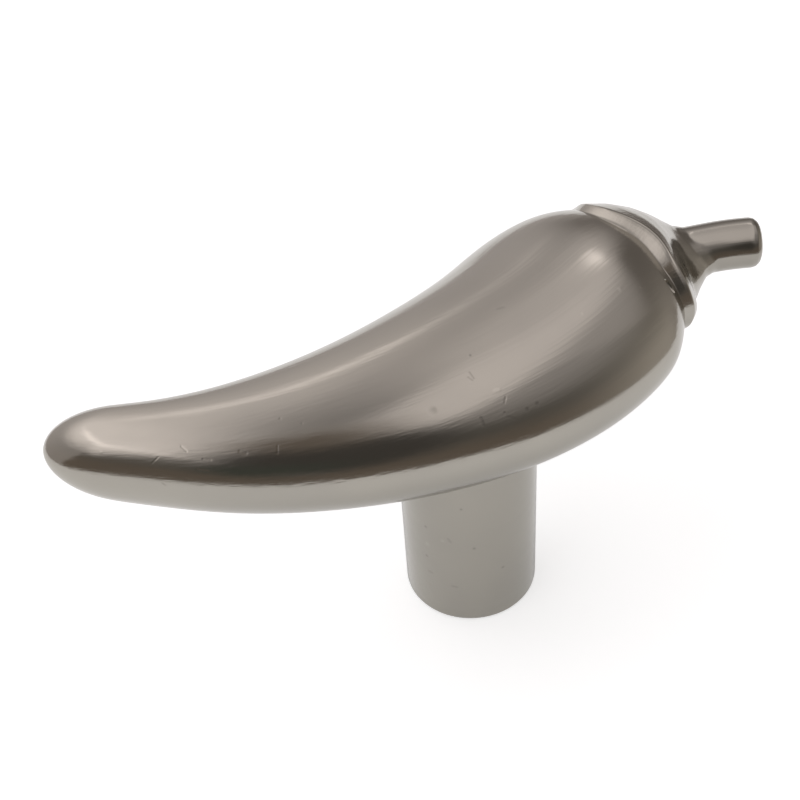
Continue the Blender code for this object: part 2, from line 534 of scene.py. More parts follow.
    def rim_row(self, step: tuple[float, float], turn: float) -> np.ndarray:
        """Gives a rim ring's place and half sizes at a turn.

        Args:
            step: how far the ring lies behind the rim's foot and proud of the flesh.
            turn: the turn in radians.

        Returns:
            The place along the spine, half the width and half the height.
        """
        foot, thickness = self.rim_at(turn)[:2]
        along = foot + step[0] * thickness
        return np.array([along, *(self.half_sizes(along) + step[1] * thickness)])

    def hollow_row(self, t: float, turn: float) -> np.ndarray:
        """Gives the hollow's place and half sizes, on a curve that leaves the rim and joins the stalk.

        Args:
            t: 0 at the rim's crest, 1 at the stalk's neck.
            turn: the turn in radians.

        Returns:
            The place along the spine, half the width and half the height.
        """
        start = self.rim_row(self.rim_profile[-1], turn)
        foot, _, fullness, lean, neck_along = self.rim_at(turn)
        neck = np.array([neck_along, self.stalk_radius, self.stalk_radius])
        reach = neck[0] - start[0]
        slope = (self.half_sizes(start[0]) - self.half_sizes(foot)) / (start[0] - foot)
        first = start + np.array([1, *(slope * lean)]) * reach * fullness
        last = neck - np.array([reach * self.hollow_pull_at_neck, 0, 0])
        low = start * (1 - t) ** 3 + first * 3 * t * (1 - t) ** 2
        return low + last * 3 * t**2 * (1 - t) + neck * t**3

    def row_point(self, row: np.ndarray, turn: float) -> Vector:
        """Gives the straight pepper's point for a row of place and half sizes at a turn."""
        width, height = row[1] * self.ring_growth, row[2] * self.ring_growth
        return Vector((row[0], -width * math.cos(turn), height * math.sin(turn)))

    def add_ring(self, rings: RingTool, row_at: Callable[[float], np.ndarray]) -> None:
        """Extrudes one ring at its mean place, then pulls its points to their own places.

        Args:
            rings: the tube that is drawn out.
            row_at: gives the ring's place and half sizes from a turn in radians.
        """
        turns = [2 * math.pi * i / self.sides for i in range(self.sides)]
        mean = np.mean([row_at(turn) for turn in turns], axis=0)
        widths = (mean[1] * self.ring_growth, mean[2] * self.ring_growth)
        rings.extrude_to(float(mean[0]), widths)
        rings.pull_points(lambda turn: self.row_point(row_at(turn), turn))

    def draw_flesh(self, rings: RingTool) -> None:
        """Draws the tail's nose and the flesh up to the rim's foot.

        Args:
            rings: the tube that is drawn out.
        """
        for turn_deg in self.nose_turns_deg[1:]:
            along = self.nose_length * (1 - math.cos(math.radians(turn_deg)))
            half_sizes = self.half_sizes(along) * self.ring_growth
            rings.extrude_to(along, tuple(half_sizes))
        for place in self.flesh_rings:
            if place < self.lobes_start:
                rings.extrude_to(place, tuple(self.half_sizes(place) * self.ring_growth))
            else:
                self.add_ring(rings, lambda turn, p=place: self.flesh_row(p, turn))
        self.add_ring(rings, lambda turn: self.flesh_row(self.rim_mean, turn))
        rings.crease(self.rim_foot_crease)

    def draw_calyx(self, rings: RingTool) -> None:
        """Draws the rim and the hollow behind it.

        Args:
            rings: the tube that is drawn out.
        """
        for step in self.rim_profile:
            self.add_ring(rings, lambda turn, s=step: self.rim_row(s, turn))
        for t in self.hollow_steps:
            self.add_ring(rings, lambda turn, t=t: self.hollow_row(t, turn))

    def stalk_row(self, share: float, end: float, turn: float) -> np.ndarray:
        """Gives a stalk ring's place and half sizes, from the slanting neck to the square end."""
        neck = self.rim_at(turn)[-1]
        return np.array([neck + (end - neck) * share, self.stalk_radius, self.stalk_radius])

    def draw_stalk(self, rings: RingTool) -> None:
        """Draws the stalk, its rounded end and the end's face.

        Args:
            rings: the tube that is drawn out.
        """
        end = self.spine.length - self.stalk_end_rounding
        radius = self.stalk_radius * self.ring_growth
        for share in self.stalk_steps:
            self.add_ring(rings, lambda turn, s=share: self.stalk_row(s, end, turn))
        for turn_deg in self.stalk_end_turns_deg:
            roll = math.radians(turn_deg)
            tuck = self.stalk_end_rounding * (1 - math.cos(roll))
            place = end + self.stalk_end_rounding * math.sin(roll)
            rings.extrude_to(place, (radius - tuck, radius - tuck))
        for share in self.stalk_face_shares:
            inner = (radius - self.stalk_end_rounding) * share
            rings.extrude_to(self.spine.length, (inner, inner))

    def build(self) -> bpy.types.Object:
        """Models the pepper straight, smooths it and bends it along the spine.

        Returns:
            The pepper as one closed mesh.
        """
        roll = math.radians(self.nose_turns_deg[0])
        start = self.nose_length * (1 - math.cos(roll))
        half_sizes = self.half_sizes(start) * self.ring_growth
        rings = RingTool("pepper", self.sides, PlaneAxis.X, start, half_sizes[0])
        rings.resize(tuple(half_sizes))
        self.draw_flesh(rings)
        self.draw_calyx(rings)
        self.draw_stalk(rings)
        rings.extrude_to(self.spine.length, (self.stalk_middle, self.stalk_middle))
        rings.close()
        self.close_tail(rings)
        pepper = rings.finish()
        apply_modifier(
            pepper, "SUBSURF", levels=self.subdivisions, render_levels=self.subdivisions
        )
        spine = self.spine.draw()
        apply_modifier(pepper, "CURVE", object=spine, deform_axis="POS_X")
        bpy.data.objects.remove(spine)
        pick(pepper)
        bpy.ops.object.shade_smooth()
        return pepper

    def close_tail(self, rings: RingTool) -> None:
        """Draws the tail's first ring together in one point at the tip.

        Args:
            rings: the tube that is drawn out.
        """
        mesh = bmesh.from_edit_mesh(rings.piece.data)
        first = min(vert.co.x for vert in mesh.verts)
        for vert in mesh.verts:
            vert.select = abs(vert.co.x - first) < 1e-7
        mesh.select_flush(True)
        bmesh.update_edit_mesh(rings.piece.data)
        bpy.ops.mesh.extrude_region_move(TRANSFORM_OT_translate={"value": (-first, 0, 0)})
        bpy.ops.mesh.merge(type="CENTER")


@dataclass
class Post:
    """The round post, whose fillet follows the pepper's underside."""

    sides: int = 96
    diameter: float = 0.0120
    draft_deg: float = 0.4
    foot_rounding: float = 0.0006
    fillet_radius: float = 0.0007
    foot_steps: int = 5
    fillet_steps: int = 8
    sink: float = 0.00003

    def build(self, pepper: bpy.types.Object, top: float) -> bpy.types.Object:
        """Models the post from its mounting face to its end inside the pepper.

        Args:
            pepper: the pepper that the post carries.
            top: the height of the post's hidden end.

        Returns:
            The post as one closed mesh.
        """
        underside = BVHTree.FromObject(pepper, bpy.context.evaluated_depsgraph_get())
        foot_radius = self.diameter / 2
        draft = math.tan(math.radians(self.draft_deg))

        def height_over(radius: float, turn: float) -> float:
            """Gives the height of the pepper's underside over a point of the mounting plane.

            Args:
                radius: the point's distance from the post's axis.
                turn: its turn about that axis in radians.

            Returns:
                The height.
            """
            ground = Vector((radius * math.cos(turn), radius * math.sin(turn), 0))
            hit, _, _, _ = underside.ray_cast(ground, Vector((0, 0, 1)))
            return hit.z

        def fillet_point(roll: float, turn: float) -> Vector:
            """Gives a point of the fillet, from the wall at roll 0 to the pepper at a quarter turn.

            Args:
                roll: the turn along the fillet's quarter circle in radians.
                turn: the turn about the post's axis in radians.

            Returns:
                The point.
            """
            wall = foot_radius + draft * height_over(foot_radius, turn)
            radius = wall + self.fillet_radius * (1 - math.cos(roll))
            drop = self.fillet_radius * (1 - math.sin(roll)) - self.sink
            return Vector(
                (radius * math.cos(turn), radius * math.sin(turn), height_over(radius, turn) - drop)
            )

        inner = foot_radius - self.foot_rounding
        rings = RingTool("post", self.sides, PlaneAxis.Z, 0.0, inner)
        rings.cap()
        for i in range(1, self.foot_steps + 1):
            roll = math.pi / 2 * i / self.foot_steps
            radius = inner + self.foot_rounding * math.sin(roll)
            rings.extrude_to(self.foot_rounding * (1 - math.cos(roll)), (radius, radius))
        for i in range(self.fillet_steps + 1):
            roll = math.pi / 2 * i / self.fillet_steps
            mean = fillet_point(roll, 0.0)
            radius = math.hypot(mean.x, mean.y)
            rings.extrude_to(mean.z, (radius, radius))
            rings.pull_points(lambda turn, roll=roll: fillet_point(roll, turn))
        rings.extrude_to(top, (foot_radius, foot_radius))
        rings.pull_points(
            lambda turn: Vector((foot_radius * math.cos(turn), foot_radius * math.sin(turn), top))
        )
        rings.cap()
        return rings.finish()


@dataclass
class Notch:
    """A small oval notch that the casting has in the edge of its calyx."""

    middle: tuple[float, float, float] = (0.01907, -0.00112, 0.02821)
    outwards: tuple[float, float, float] = (0.640, -0.406, 0.652)
    along: tuple[float, float, float] = (0.00047, -0.00090, -0.00102)
    half_sizes: tuple[float, float, float] = (0.00078, 0.00030, 0.00026)
    sunk: float = -0.00004
    segments: int = 32

    def build(self) -> bpy.types.Object:
        """Models the egg-shaped cutter for the notch.

        Returns:
            The cutter, where it cuts.
        """
        deselect_all()
        bpy.ops.mesh.primitive_uv_sphere_add(
            segments=self.segments, ring_count=self.segments // 2, radius=1.0
        )
        cutter = bpy.context.object
        cutter.name = "notch"
        cutter.scale = self.half_sizes
        outwards = Vector(self.outwards).normalized()
        along = Vector(self.along)
        along = (along - outwards * along.dot(outwards)).normalized()
        turn = cutter.rotation_euler.to_matrix()
        turn.col[0], turn.col[1], turn.col[2] = along, outwards.cross(along), outwards
        cutter.rotation_euler = turn.to_euler()
        cutter.location = Vector(self.middle) + outwards * self.sunk
        place_in_mesh(cutter)
        return cutter


@dataclass
class TappedHole:
    """The blind hole for the screw, drilled, chamfered and tapped with an M4 thread."""

    sides: int = 48
    core_diameter: float = 0.0033
    major_diameter: float = 0.0040
    pitch: float = 0.0007
    depth: float = 0.0110
    thread_depth: float = 0.0091
    point_deg: float = 118.0
    mouth_chamfer: float = 0.0005
    below: float = 0.0010
    drill_tip: float = 0.000033
    tap_overlap: float = 0.0004
    foot_pitches: float = 0.46
    core_pitches: float = 0.42
    crest_pitches: float = 0.06

    def drill(self) -> bpy.types.Object:
        """Models the drill's shape, from below the mounting face to the conical point.

        Returns:
            The drill as one closed mesh.
        """
        core = self.core_diameter / 2
        mouth = core + self.mouth_chamfer + self.below
        rings = RingTool("drill", self.sides, PlaneAxis.Z, -self.below, mouth)
        rings.cap()
        rings.extrude_to(self.mouth_chamfer, (core, core))
        rings.extrude_to(self.depth, (core, core))
        point = self.depth + core / math.tan(math.radians(self.point_deg / 2))
        rings.extrude_to(point, (self.drill_tip, self.drill_tip))
        rings.close()
        return rings.finish()

    def tap(self) -> bpy.types.Object:
        """Models the tap's ridge: a blunt profile that is wound up the hole.

        Returns:
            The ridge as one closed coil.
        """
        core, major = self.core_diameter / 2, self.major_diameter / 2
        foot = (core - self.tap_overlap, self.foot_pitches)
        upper = (foot, (core, self.core_pitches), (major, self.crest_pitches))
        corners = [Vector((radius, 0, -pitches * self.pitch)) for radius, pitches in upper]
        corners += [Vector((radius, 0, pitches * self.pitch)) for radius, pitches in reversed(upper)]
        deselect_all()
        bpy.ops.mesh.primitive_circle_add(
            vertices=len(corners), radius=core, rotation=(math.pi / 2, 0, 0)
        )
        tap = bpy.context.object
        tap.name = "tap"
        place_in_mesh(tap)
        bpy.ops.object.mode_set(mode="EDIT")
        bpy.ops.mesh.select_all(action="DESELECT")
        mesh = bmesh.from_edit_mesh(tap.data)
        mesh.verts.ensure_lookup_table()
        for vert, corner in zip(list(mesh.verts), corners):
            vert.select = True
            bpy.ops.transform.translate(value=corner - vert.co)
            vert.select = False
        bpy.ops.object.mode_set(mode="OBJECT")
        apply_modifier(
            tap,
            "SCREW",
            axis="Z",
            angle=2 * math.pi,
            screw_offset=self.pitch,
            iterations=round(self.thread_depth / self.pitch),
            steps=self.sides,
            render_steps=self.sides,
        )
        bpy.ops.object.mode_set(mode="EDIT")
        bpy.ops.mesh.select_all(action="SELECT")
        bpy.ops.mesh.fill_holes(sides=0)
        bpy.ops.mesh.select_all(action="SELECT")
        bpy.ops.mesh.normals_make_consistent(inside=False)
        bpy.ops.object.mode_set(mode="OBJECT")
        return tap

    def build(self) -> bpy.types.Object:
        """Models the whole cutter for the threaded hole.

        Returns:
            The cutter.
        """
        cutter = self.drill()
        combine(cutter, self.tap(), CutKind.JOIN)
        return cutter


# The camera, and where its pixels lie on the casting

Pixel = tuple[float, float]


@dataclass(frozen=True)
class ProductCamera:
    """The camera, set by where the knob's mounting point lands in an 800 by 800 picture."""

    elevation_deg: float = 43.6
    roll_deg: float = -4.0
    distance: float = 0.160
    lens: float = 76.5
    sensor: float = 36.0
    picture: float = 800.0
    nearest: float = 0.005
    mount_at: Pixel = (471.1, 570.9)

    @property
    def axes(self) -> tuple[Vector, Vector, Vector]:
        """The directions to the camera's right, up, and ahead of it."""
        yaw, pitch = math.radians(STUDIO_YAW_DEG), math.radians(self.elevation_deg)
        roll = math.radians(self.roll_deg)
        level = Vector((math.cos(yaw), -math.sin(yaw), 0))
        ahead = Vector((math.sin(yaw), math.cos(yaw), 0)) * math.cos(pitch)
        ahead.z = -math.sin(pitch)
        upright = level.cross(ahead)
        right = level * math.cos(roll) + upright * math.sin(roll)
        return right, upright * math.cos(roll) - level * math.sin(roll), ahead

    def towards(self, pixel: Pixel) -> Vector:
        """Gives the way from the camera to where a pixel lies, at the knob's distance.

        Args:
            pixel: a place in the picture, from its upper left corner.

        Returns:
            The way, which the camera's place is added to.
        """
        right, up, ahead = self.axes
        size = self.distance * self.sensor / self.lens / self.picture
        across = (pixel[0] - self.picture / 2) * size
        above = (self.picture / 2 - pixel[1]) * size
        return ahead * self.distance + right * across + up * above

    @property
    def place(self) -> Vector:
        """Where the camera stands."""
        return -self.towards(self.mount_at)

    def build(self) -> bpy.types.Object:
        """Sets up the camera and makes it the scene's.

        Returns:
            The camera.
        """
        bpy.ops.object.camera_add(location=self.place)
        camera = bpy.context.object
        camera.name = "product_camera"
        right, up, ahead = self.axes
        turn = camera.rotation_euler.to_matrix()
        turn.col[0], turn.col[1], turn.col[2] = right, up, -ahead
        camera.rotation_euler = turn.to_euler()
        camera.data.lens = self.lens
        camera.data.sensor_width = self.sensor
        camera.data.clip_start = self.nearest
        bpy.context.scene.camera = camera
        return camera


class SeenSurface:
    """The casting's surface, as the camera sees it."""

    def __init__(self, casting: bpy.types.Object) -> None:
        """Keeps the casting's faces, and where the camera stands."""
        self.faces = BVHTree.FromObject(casting, bpy.context.evaluated_depsgraph_get())
        self.camera = ProductCamera()

    def at(self, pixel: Pixel) -> Vector:
        """Gives the place on the casting that a pixel shows."""
        hit, _, _, _ = self.faces.ray_cast(self.camera.place, self.camera.towards(pixel).normalized())
        return hit


# Finishes


class NodeSheet:
    """Adds nodes to a node tree, each with its settings and its inputs in one call."""

    def __init__(self, tree: bpy.types.NodeTree) -> None:
        """Starts on a node tree."""
        self.tree = tree

    def add(self, kind: str, inputs: dict[Any, Any] | None = None, **settings: Any) -> bpy.types.Node:
        """Adds one node.

        Args:
            kind: the node's type, without its prefix.
            inputs: a number, colour or socket for each named input.
            settings: the node's own properties.

        Returns:
            The node.
        """
        node = self.tree.nodes.new("ShaderNode" + kind)
        for name, value in settings.items():
            setattr(node, name, value)
        for name, value in (inputs or {}).items():
            if isinstance(value, bpy.types.NodeSocket):
                self.tree.links.new(value, node.inputs[name])
            else:
                node.inputs[name].default_value = value
        return node

    def sum(self, operation: str, *values: Any, clamp: bool = False) -> bpy.types.NodeSocket:
        """Adds a Math node over numbers or sockets and gives its result."""
        inputs = dict(enumerate(values))
        return self.add("Math", inputs, operation=operation, use_clamp=clamp).outputs[0]

    def vector(self, operation: str, *values: Any, output: str = "Vector") -> bpy.types.NodeSocket:
        """Adds a Vector Math node over vectors or sockets and gives its result."""
        inputs = dict(enumerate(values))
        return self.add("VectorMath", inputs, operation=operation).outputs[output]

    def ramp(
        self, value: bpy.types.NodeSocket, low: float, high: float, to_low: float, to_high: float
    ) -> bpy.types.NodeSocket:
        """Maps a number smoothly from one range to another and gives the result.

        Args:
            value: the number's socket.
            low: where its range starts.
            high: where its range ends.
            to_low: what low becomes.
            to_high: what high becomes.

        Returns:
            The result's socket.
        """
        inputs = {"Value": value, "From Min": low, "From Max": high}
        inputs |= {"To Min": to_low, "To Max": to_high}
        return self.add("MapRange", inputs, interpolation_type="SMOOTHSTEP").outputs[0]

    def link(self, source: bpy.types.NodeSocket, target: bpy.types.NodeSocket) -> None:
        """Links two sockets."""
        self.tree.links.new(source, target)


class MarkKind(Enum):
    """A small mark in the plate: its depth in metres, how much it darkens, and how much it dulls."""

    PIT = (0.000007, 0.22, 0.08)
    DIMPLE = (0.000014, 0.10, 0.02)
    NICK = (0.000006, 0.13, 0.04)
    SMEAR = (0.000002, 0.10, 0.08)
    SCRATCH = (0.000006, -0.05, -0.02)
    BRIGHT = (-0.000004, -0.09, -0.02)


@dataclass(frozen=True)
class Mark:
    """One small mark, at a pixel of the picture where it was seen, or from one pixel to another.

    It fades to nothing at its edge, which is given in half widths.
    """

    kind: MarkKind
    half_width: float
    start: Pixel
    end: Pixel | None = None
    edge: float = 1.5

    def inside(
        self, sheet: NodeSheet, place: bpy.types.NodeSocket, surface: SeenSurface
    ) -> bpy.types.NodeSocket:
        """Gives how much of the mark there is at a place.

        Args:
            sheet: where the nodes go.
            place: the place's socket.
            surface: the casting that the mark lies on.

        Returns:
            1 in the middle of the mark, and 0 beside it.
        """
        start = surface.at(self.start)
        away = sheet.vector("SUBTRACT", place, start)
        if self.end is not None:
            reach = surface.at(self.end) - start
            along = sheet.vector("DOT_PRODUCT", away, reach / reach.length_squared, output="Value")
            along = sheet.sum("ADD", along, 0.0, clamp=True)
            scaled = sheet.add("VectorMath", {0: reach, "Scale": along}, operation="SCALE")
            away = sheet.vector("SUBTRACT", away, scaled.outputs[0])
        distance = sheet.vector("LENGTH", away, output="Value")
        return sheet.ramp(distance, 0.0, self.half_width * self.edge, 1.0, 0.0)


@dataclass(frozen=True)
class SatinNickel:
    """Satin nickel plate: a warm grey metal, finely brushed along the pepper, with its small marks,
    and with painted shade towards the calyx's hollow and the stalk.
    """

    name: str = "satin_nickel_plate"
    colour: tuple[float, float, float, float] = (0.408, 0.388, 0.345, 1.0)
    worn_colour: tuple[float, float, float, float] = (0.384, 0.366, 0.328, 1.0)
    roughness: float = 0.155
    streak_roughness: float = 0.06
    cloud_roughness: float = 0.05
    fine_detail: float = 3.0
    band_detail: float = 2.0
    streak_scale: tuple[float, float, float] = (110.0, 5200.0, 5200.0)
    band_scale: tuple[float, float, float] = (45.0, 1100.0, 1100.0)
    streak_height: float = 0.0000065
    band_height: float = 0.0000180
    cloud_size: float = 0.011
    speck_size: float = 0.0022
    speck_radius: float = 0.045
    speck_depth: float = 0.0000050
    # Painted shade: the colour darkens by this share from stalk_from to stalk_to along the spine, over
    # the calyx's hollow and the stalk.
    stalk_from: float = 0.0600
    stalk_to: float = 0.0655
    stalk_painted_shade: float = 0.15
    worn_from: float = 0.3
    worn_to: float = 0.7
    marks: tuple[Mark, ...] = (
        Mark(MarkKind.PIT, 0.00013, (469.9, 355.3)),
        Mark(MarkKind.NICK, 0.00009, (469, 372.1), (473.6, 378.4)),
        Mark(MarkKind.NICK, 0.00009, (467.8, 377.3), (472.4, 380.2)),
        Mark(MarkKind.DIMPLE, 0.00034, (432.2, 410.6)),
        Mark(MarkKind.NICK, 0.00011, (505.6, 397.4), (504.6, 402.6)),
        Mark(MarkKind.PIT, 0.00011, (504.6, 412.6)),
        Mark(MarkKind.NICK, 0.00014, (481, 418.1), (483.3, 425)),
        Mark(MarkKind.PIT, 0.00019, (537.3, 403.7)),
        Mark(MarkKind.PIT, 0.00019, (527.5, 409.5)),
        Mark(MarkKind.SMEAR, 0.00013, (507.5, 416.4), (516.6, 419.2)),
        Mark(MarkKind.BRIGHT, 0.00011, (640.8, 286.9)),
        Mark(MarkKind.BRIGHT, 0.00021, (620.5, 289.3)),
        Mark(MarkKind.BRIGHT, 0.00014, (582.5, 313.6)),
        Mark(MarkKind.SMEAR, 0.00015, (497, 309), (503, 307.5)),
        Mark(MarkKind.BRIGHT, 0.00017, (494.8, 390.5), (499, 389.5)),
        Mark(MarkKind.SCRATCH, 0.00009, (152.2, 463.1), (158, 457.4)),
        Mark(MarkKind.SCRATCH, 0.00011, (181.6, 446.6), (186.7, 451.2)),
        Mark(MarkKind.SCRATCH, 0.00009, (203, 459), (211, 460)),
        Mark(MarkKind.SCRATCH, 0.00009, (197, 469.5), (208, 471.4)),
        Mark(MarkKind.NICK, 0.00011, (162.4, 482.9), (165.6, 485.2)),
        Mark(MarkKind.SCRATCH, 0.00017, (240, 451.5), (246, 453)),
        Mark(MarkKind.PIT, 0.00011, (302, 423.5)),
        Mark(MarkKind.PIT, 0.00011, (280, 418.5)),
        Mark(MarkKind.NICK, 0.00010, (277.5, 446), (277.5, 453)),
        Mark(MarkKind.BRIGHT, 0.00012, (101.2, 452.3)),
        Mark(MarkKind.BRIGHT, 0.00009, (333.5, 469)),
        Mark(MarkKind.BRIGHT, 0.00012, (418, 499)),
        Mark(MarkKind.NICK, 0.00009, (444.5, 493.3), (447.8, 492.5)),
        Mark(MarkKind.PIT, 0.00015, (461.2, 509.5)),
        Mark(MarkKind.PIT, 0.00016, (425.8, 526.5)),
        Mark(MarkKind.BRIGHT, 0.00026, (427.3, 543.7)),
        Mark(MarkKind.BRIGHT, 0.00021, (442.6, 540.8)),
        Mark(MarkKind.SMEAR, 0.00015, (448, 538.9), (450.7, 542.2)),
        Mark(MarkKind.PIT, 0.00015, (427, 555.5)),
        Mark(MarkKind.SMEAR, 0.00017, (429, 571), (432, 572.5)),
        Mark(MarkKind.SMEAR, 0.00015, (452.5, 586), (457, 587)),
        Mark(MarkKind.PIT, 0.00017, (474.2, 548.5)),
        Mark(MarkKind.PIT, 0.00015, (502.9, 567.1)),
    )

    def build(self, surface: SeenSurface) -> bpy.types.Material:
        """Makes the material.

        Args:
            surface: the casting that the marks lie on.

        Returns:
            The material, which reads the piece's brushing attribute and Object coordinates.
        """
        material = bpy.data.materials.new(self.name)
        material.use_nodes = True
        sheet = NodeSheet(material.node_tree)
        shader = material.node_tree.nodes["Principled BSDF"]
        shader.inputs["Metallic"].default_value = 1.0
        place = sheet.add("TexCoord").outputs["Object"]
        brushing = sheet.add("Attribute", attribute_name="brushing").outputs["Vector"]
        streaks = self.noise(sheet, brushing, self.streak_scale, self.fine_detail)
        bands = self.noise(sheet, brushing, self.band_scale, self.band_detail)
        clouds = self.noise(sheet, place, (1 / self.cloud_size,) * 3, self.fine_detail)
        rough = sheet.sum("MULTIPLY_ADD", streaks, self.streak_roughness, self.roughness)
        rough = sheet.sum("MULTIPLY_ADD", clouds, self.cloud_roughness, rough)
        offset = (self.streak_roughness + self.cloud_roughness) / 2
        rough = sheet.sum("SUBTRACT", rough, offset)
        height = sheet.sum("MULTIPLY", streaks, self.streak_height)
        height = sheet.sum("MULTIPLY_ADD", bands, self.band_height, height)
        height = sheet.sum("MULTIPLY_ADD", self.specks(sheet, place), -self.speck_depth, height)
        # Painted shade: the colour darkens along the spine towards the calyx's hollow and the stalk;
        # the marks then darken or lighten it where they lie.
        along = sheet.add("SeparateXYZ", {0: brushing}).outputs[0]
        painted_shade_and_marks = sheet.ramp(along, self.stalk_from, self.stalk_to, 0.0, self.stalk_painted_shade)
        for mark in self.marks:
            depth, darkness, dullness = mark.kind.value
            inside = mark.inside(sheet, place, surface)
            height = sheet.sum("MULTIPLY_ADD", inside, -depth, height)
            painted_shade_and_marks = sheet.sum("MULTIPLY_ADD", inside, darkness, painted_shade_and_marks)
            rough = sheet.sum("MULTIPLY_ADD", inside, dullness, rough)
        sheet.link(rough, shader.inputs["Roughness"])
        tone = sheet.ramp(clouds, self.worn_from, self.worn_to, 0.0, 1.0)
        mixed = {0: tone, 6: self.colour, 7: self.worn_colour}
        colour = sheet.add("Mix", mixed, data_type="RGBA").outputs[2]
        light = sheet.sum("SUBTRACT", 1.0, painted_shade_and_marks)
        colour = sheet.add("VectorMath", {0: colour, "Scale": light}, operation="SCALE").outputs[0]
        sheet.link(colour, shader.inputs["Base Color"])
        bump = sheet.add("Bump", {"Strength": 1.0, "Distance": 1.0, "Height": height})
        sheet.link(bump.outputs["Normal"], shader.inputs["Normal"])
        return material

    def specks(self, sheet: NodeSheet, place: bpy.types.NodeSocket) -> bpy.types.NodeSocket:
        """Adds sparse, tiny specks and gives how much of one there is at a place."""
        cells = sheet.add("TexVoronoi", {"Vector": place, "Scale": 1 / self.speck_size})
        return sheet.ramp(cells.outputs["Distance"], 0.0, self.speck_radius, 1.0, 0.0)

    def noise(
        self,
        sheet: NodeSheet,
        place: bpy.types.NodeSocket,
        scale: tuple[float, float, float],
        detail: float,
    ) -> bpy.types.NodeSocket:
        """Adds a noise over a place that is stretched by a scale.

        Args:
            sheet: where the nodes go.
            place: the place's socket.
            scale: how many turns of the noise a metre holds, on each axis.
            detail: the noise's detail.

        Returns:
            The noise's value.
        """
        stretched = sheet.vector("MULTIPLY", place, scale)
        return sheet.add("TexNoise", {"Vector": stretched, "Scale": 1.0, "Detail": detail}).outputs[0]


@dataclass(frozen=True)
class PaleFloor:
    """A matt white floor that shows white to the camera and to the metal, and keeps the shadow; what
    the metal sees of it has a painted shadow near the knob.
    """

    name: str = "pale_floor"
    colour: tuple[float, float, float, float] = (0.66, 0.68, 0.69, 1.0)
    glow: float = 0.64
    mirrored_glow: float = 0.47
    # Painted shadow: near the knob, the glow that the metal sees falls to shade_under_knob of itself.
    shade_from: float = 0.005
    shade_to: float = 0.045
    shade_under_knob: float = 0.8

    def build(self) -> bpy.types.Material:
        """Makes the material.

        Returns:
            The material.
        """
        material = bpy.data.materials.new(self.name)
        material.use_nodes = True
        sheet = NodeSheet(material.node_tree)
        tree = material.node_tree
        tree.nodes.remove(tree.nodes["Principled BSDF"])
        rays = sheet.add("LightPath").outputs
        mirrored = sheet.sum("MAXIMUM", rays["Is Glossy Ray"], rays["Is Transmission Ray"])
        place = sheet.add("TexCoord").outputs["Object"]
        away = sheet.vector("LENGTH", place, output="Value")
        # Painted shadow: the glow that the metal sees is darker near the knob.
        near = (self.shade_from, self.shade_to, self.shade_under_knob * self.mirrored_glow)
        mirrored = sheet.sum("MULTIPLY", mirrored, sheet.ramp(away, *near, self.mirrored_glow))
        strength = sheet.sum("MULTIPLY_ADD", rays["Is Camera Ray"], self.glow, mirrored)
        glow = sheet.add("Emission", {"Strength": strength})
        matt = sheet.add("BsdfDiffuse", {"Color": self.colour})
        both = sheet.add("AddShader", {0: matt.outputs[0], 1: glow.outputs[0]})
        sheet.link(both.outputs[0], tree.nodes["Material Output"].inputs["Surface"])
        return material


# The knob as a whole


@dataclass
class Knob:
    """The whole casting: pepper, post and tapped hole, dressed in one finish."""

    spine: Spine = field(default_factory=Spine)
    post: Post = field(default_factory=Post)
    hole: TappedHole = field(default_factory=TappedHole)
    notch: Notch = field(default_factory=Notch)
    finish: SatinNickel = field(default_factory=SatinNickel)
    sharp_angle_deg: float = 38.0

    def build(self) -> bpy.types.Object:
        """Models the casting, gives it its finish and sets it in the frame.

        Returns:
            The casting.
        """
        casting = Pepper(self.spine).build()
        LOG.info("pepper: %d faces", len(casting.data.polygons))
        post = self.post.build(casting, self.spine.height)
        combine(casting, post, CutKind.JOIN)
        LOG.info("with its post: %d faces", len(casting.data.polygons))
        combine(casting, self.hole.build(), CutKind.CUT)
        combine(casting, self.notch.build(), CutKind.CUT)
        casting.name = casting.data.name = "pepper_knob"
        LOG.info("with its tapped hole: %d faces", len(casting.data.polygons))
        pick(casting)
        bpy.ops.object.shade_smooth_by_angle(angle=math.radians(self.sharp_angle_deg))
        self.mark_brushing(casting)
        casting.data.materials.clear()
        casting.data.materials.append(self.finish.build(SeenSurface(casting)))
        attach(casting, "root")
        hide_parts("knob")
        return casting

    def mark_brushing(self, casting: bpy.types.Object) -> None:
        """Stores where each point was on the straight pepper, for the brushing to follow.

        Args:
            casting: the finished mesh.
        """
        places = np.empty(len(casting.data.vertices) * 3)
        casting.data.vertices.foreach_get("co", places)
        straight = self.spine.straighten(places.reshape(-1, 3))
        layer = casting.data.attributes.new("brushing", "FLOAT_VECTOR", "POINT")
        layer.data.foreach_set("vector", straight.astype(np.float32).ravel())


# The studio


class Tint(Enum):
    """The colours that the studio's light has, on their way to grey."""

    WHITE = (1.0, 1.0, 1.0)
    ROSY = (1.0, 0.935, 0.93)
    WARM = (1.0, 0.92, 0.84)
    BROWN = (1.0, 0.82, 0.68)
    MOSSY = (0.93, 1.0, 0.86)

    def at(self, radiance: float) -> tuple[float, float, float, float]:
        """Gives this tint at a radiance, as a colour."""
        return (*(radiance * part for part in self.value), 1.0)


@dataclass(frozen=True)
class SoftField:
    """A soft-edged patch of the studio, seen from the knob."""

    name: str
    azimuth_deg: float
    elevation_deg: float
    half_width_deg: float
    half_height_deg: float
    radiance: float
    softness: float
    tint: Tint = Tint.ROSY
    cover: float = 1.0
    roll_deg: float = 0.0


